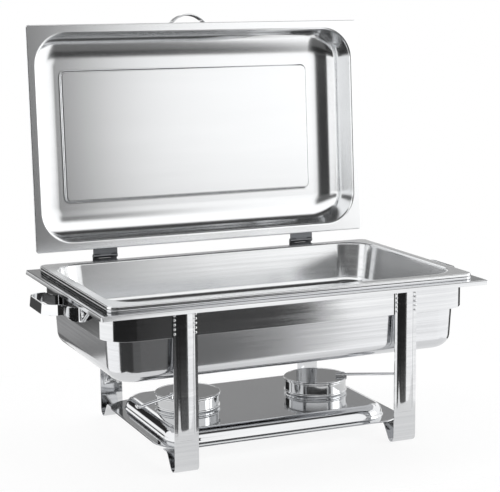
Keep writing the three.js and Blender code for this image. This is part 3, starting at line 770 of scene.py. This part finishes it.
# White paper: matt, and so brightly lit that it loses nearly every shadow.
paper = bpy.data.materials.new("white_paper")
paper.use_nodes = True
sheet = paper.node_tree.nodes["Principled BSDF"]
sheet.inputs["Base Color"].default_value = linear("#8c8c8c")
sheet.inputs["Roughness"].default_value = 0.9
sheet.inputs["Specular IOR Level"].default_value = 0.0
sheet.inputs["Emission Color"].default_value = (1.0, 1.0, 1.0, 1.0)
sheet.inputs["Emission Strength"].default_value = 0.8
bm = bmesh.new()
bmesh.ops.create_cube(bm, size=1.0)
for v in bm.verts:
    v.co.x = (TABLE_LEFT if v.co.x < 0 else TABLE_RIGHT) * MM
    v.co.y = (TABLE_FRONT if v.co.y < 0 else TABLE_BACK) * MM
    v.co.z = -TABLE_SHEET * MM if v.co.z < 0 else 0.0
mesh = bpy.data.meshes.new("table_top")
bm.to_mesh(mesh)
bm.free()
mesh.materials.append(paper)
table = bpy.data.objects.new("table_top", mesh)
bpy.context.scene.collection.objects.link(table)

world = bpy.data.worlds.new("studio")
bpy.context.scene.world = world
world.use_nodes = True
tree = world.node_tree
background = tree.nodes["Background"]
direction = add_node(tree, "ShaderNodeTexCoord").outputs["Generated"]
axes = add_node(tree, "ShaderNodeSeparateXYZ", i0=direction).outputs
DEGREE = math.pi / 180
MULTIPLY = {"operation": "MULTIPLY"}
forward = add_node(tree, "ShaderNodeMath", MULTIPLY, i0=axes[1], i1=-1.0).outputs[0]
bearing = add_node(tree, "ShaderNodeMath", {"operation": "ARCTAN2"}, i0=axes[0], i1=forward).outputs[0]
bearing = add_node(tree, "ShaderNodeMath", MULTIPLY, i0=bearing, i1=1 / DEGREE).outputs[0]
height = add_node(tree, "ShaderNodeMath", {"operation": "ARCSINE"}, i0=axes[2]).outputs[0]
height = add_node(tree, "ShaderNodeMath", MULTIPLY, i0=height, i1=1 / DEGREE).outputs[0]


def between(value, a, b, soft):
    """One inside the span from a to b degrees and nothing outside it, with soft edges."""
    edges = []
    for near, far in ((a - soft, a + soft), (b + soft, b - soft)):
        span = {"Value": value, "From_Min": near, "From_Max": far}
        smooth = {"interpolation_type": "SMOOTHSTEP"}
        edges.append(add_node(tree, "ShaderNodeMapRange", smooth, **span).outputs[0])
    return add_node(tree, "ShaderNodeMath", MULTIPLY, i0=edges[0], i1=edges[1]).outputs[0]


# Each card is (bearing from, to, height from, to, edge softness, brightness), in degrees. Bearing 0
# is the front and 90 the right. A later card covers an earlier one, and the bare room is ROOM_LIGHT.
CARDS = (
    (-72.0, 26.4, -60.0, -15.2, 0.4, 0.14),
    (-72.0, -15.0, -60.0, -15.2, 4.0, 0.05),
    (-72.0, 26.4, -15.2, -3.0, 0.4, 0.065),
    (-72.0, 19.3, -15.2, -3.0, 0.3, 0.018),
    (-14.0, 17.3, -3.0, 7.0, 1.4, 0.02),
    (-72.0, 20.0, 7.0, 17.0, 2.0, 0.04),
    (-100.0, 100.0, 44.0, 72.0, 4.0, 0.06),
    (-181.0, 181.0, 72.0, 92.0, 3.0, 0.02),
    (-182.0, -142.0, -60.0, -14.0, 2.0, 0.16),
    (-182.0, -142.0, -14.0, -5.0, 2.0, 0.07),
    (-182.0, -142.0, 7.0, 40.0, 2.0, 0.03),
    (138.0, 178.0, 8.0, 20.0, 2.0, 0.32),
    (108.0, 178.0, -60.0, 0.0, 4.0, 0.04),
)
ROOM_LIGHT = 1.3
BACKDROP_LIGHT = 1.0
light = ROOM_LIGHT
single = {"data_type": "FLOAT"}
for start, end, bottom, top, soft, value in CARDS:
    wide = between(bearing, start, end, soft)
    tall = between(height, bottom, top, soft)
    mask = add_node(tree, "ShaderNodeMath", MULTIPLY, i0=wide, i1=tall).outputs[0]
    light = add_node(tree, "ShaderNodeMix", single, i0=mask, i2=light, i3=value).outputs[0]
seen = add_node(tree, "ShaderNodeLightPath").outputs["Is Camera Ray"]
light = add_node(tree, "ShaderNodeMix", single, i0=seen, i2=light, i3=BACKDROP_LIGHT).outputs[0]
tree.links.new(light, background.inputs["Strength"])
background.inputs["Color"].default_value = (1.0, 1.0, 1.0, 1.0)

# A soft lamp far off on the right brightens that end of the dish.
lamp = bpy.data.lights.new("side_softbox", "AREA")
lamp.shape = "RECTANGLE"
lamp.size, lamp.size_y = 1.2, 0.8
lamp.energy = 8.0
softbox = bpy.data.objects.new("side_softbox", lamp)
softbox.location = (1.9, -1.1, 0.6)
from_dish = Vector((1.9, -1.1, 0.35))  # the lamp looks back along this line
softbox.rotation_euler = from_dish.to_track_quat("Z", "Y").to_euler()
bpy.context.scene.collection.objects.link(softbox)

# The camera stands in front, to the left and above, with a long lens. Its turn, tilt and roll are
# in radians, and its place is measured from the floor under the middle of the dish.
lens = bpy.data.cameras.new("camera")
lens.sensor_width = 36.0
lens.lens = 106.99
lens.clip_start, lens.clip_end = 0.05, 50.0
camera = bpy.data.objects.new("camera", lens)
CAMERA_X, CAMERA_Y, CAMERA_Z = -825.4, -1894.3, 618.3
yaw, pitch, roll = 0.40984, -0.169618, -0.0072514
ahead = Vector((math.sin(yaw) * math.cos(pitch), math.cos(yaw) * math.cos(pitch), math.sin(pitch)))
level = Vector((math.cos(yaw), -math.sin(yaw), 0))
above = level.cross(ahead)
across = level * math.cos(roll) + above * math.sin(roll)
upward = above * math.cos(roll) - level * math.sin(roll)
rotation = Matrix((across, upward, -ahead)).transposed()
stand_point = Vector((CAMERA_X, CAMERA_Y + DISH_Y, CAMERA_Z)) * MM
camera.matrix_world = Matrix.Translation(stand_point) @ rotation.to_4x4()
bpy.context.scene.collection.objects.link(camera)
bpy.context.scene.camera = camera
bpy.context.scene.view_settings.view_transform = "Standard"
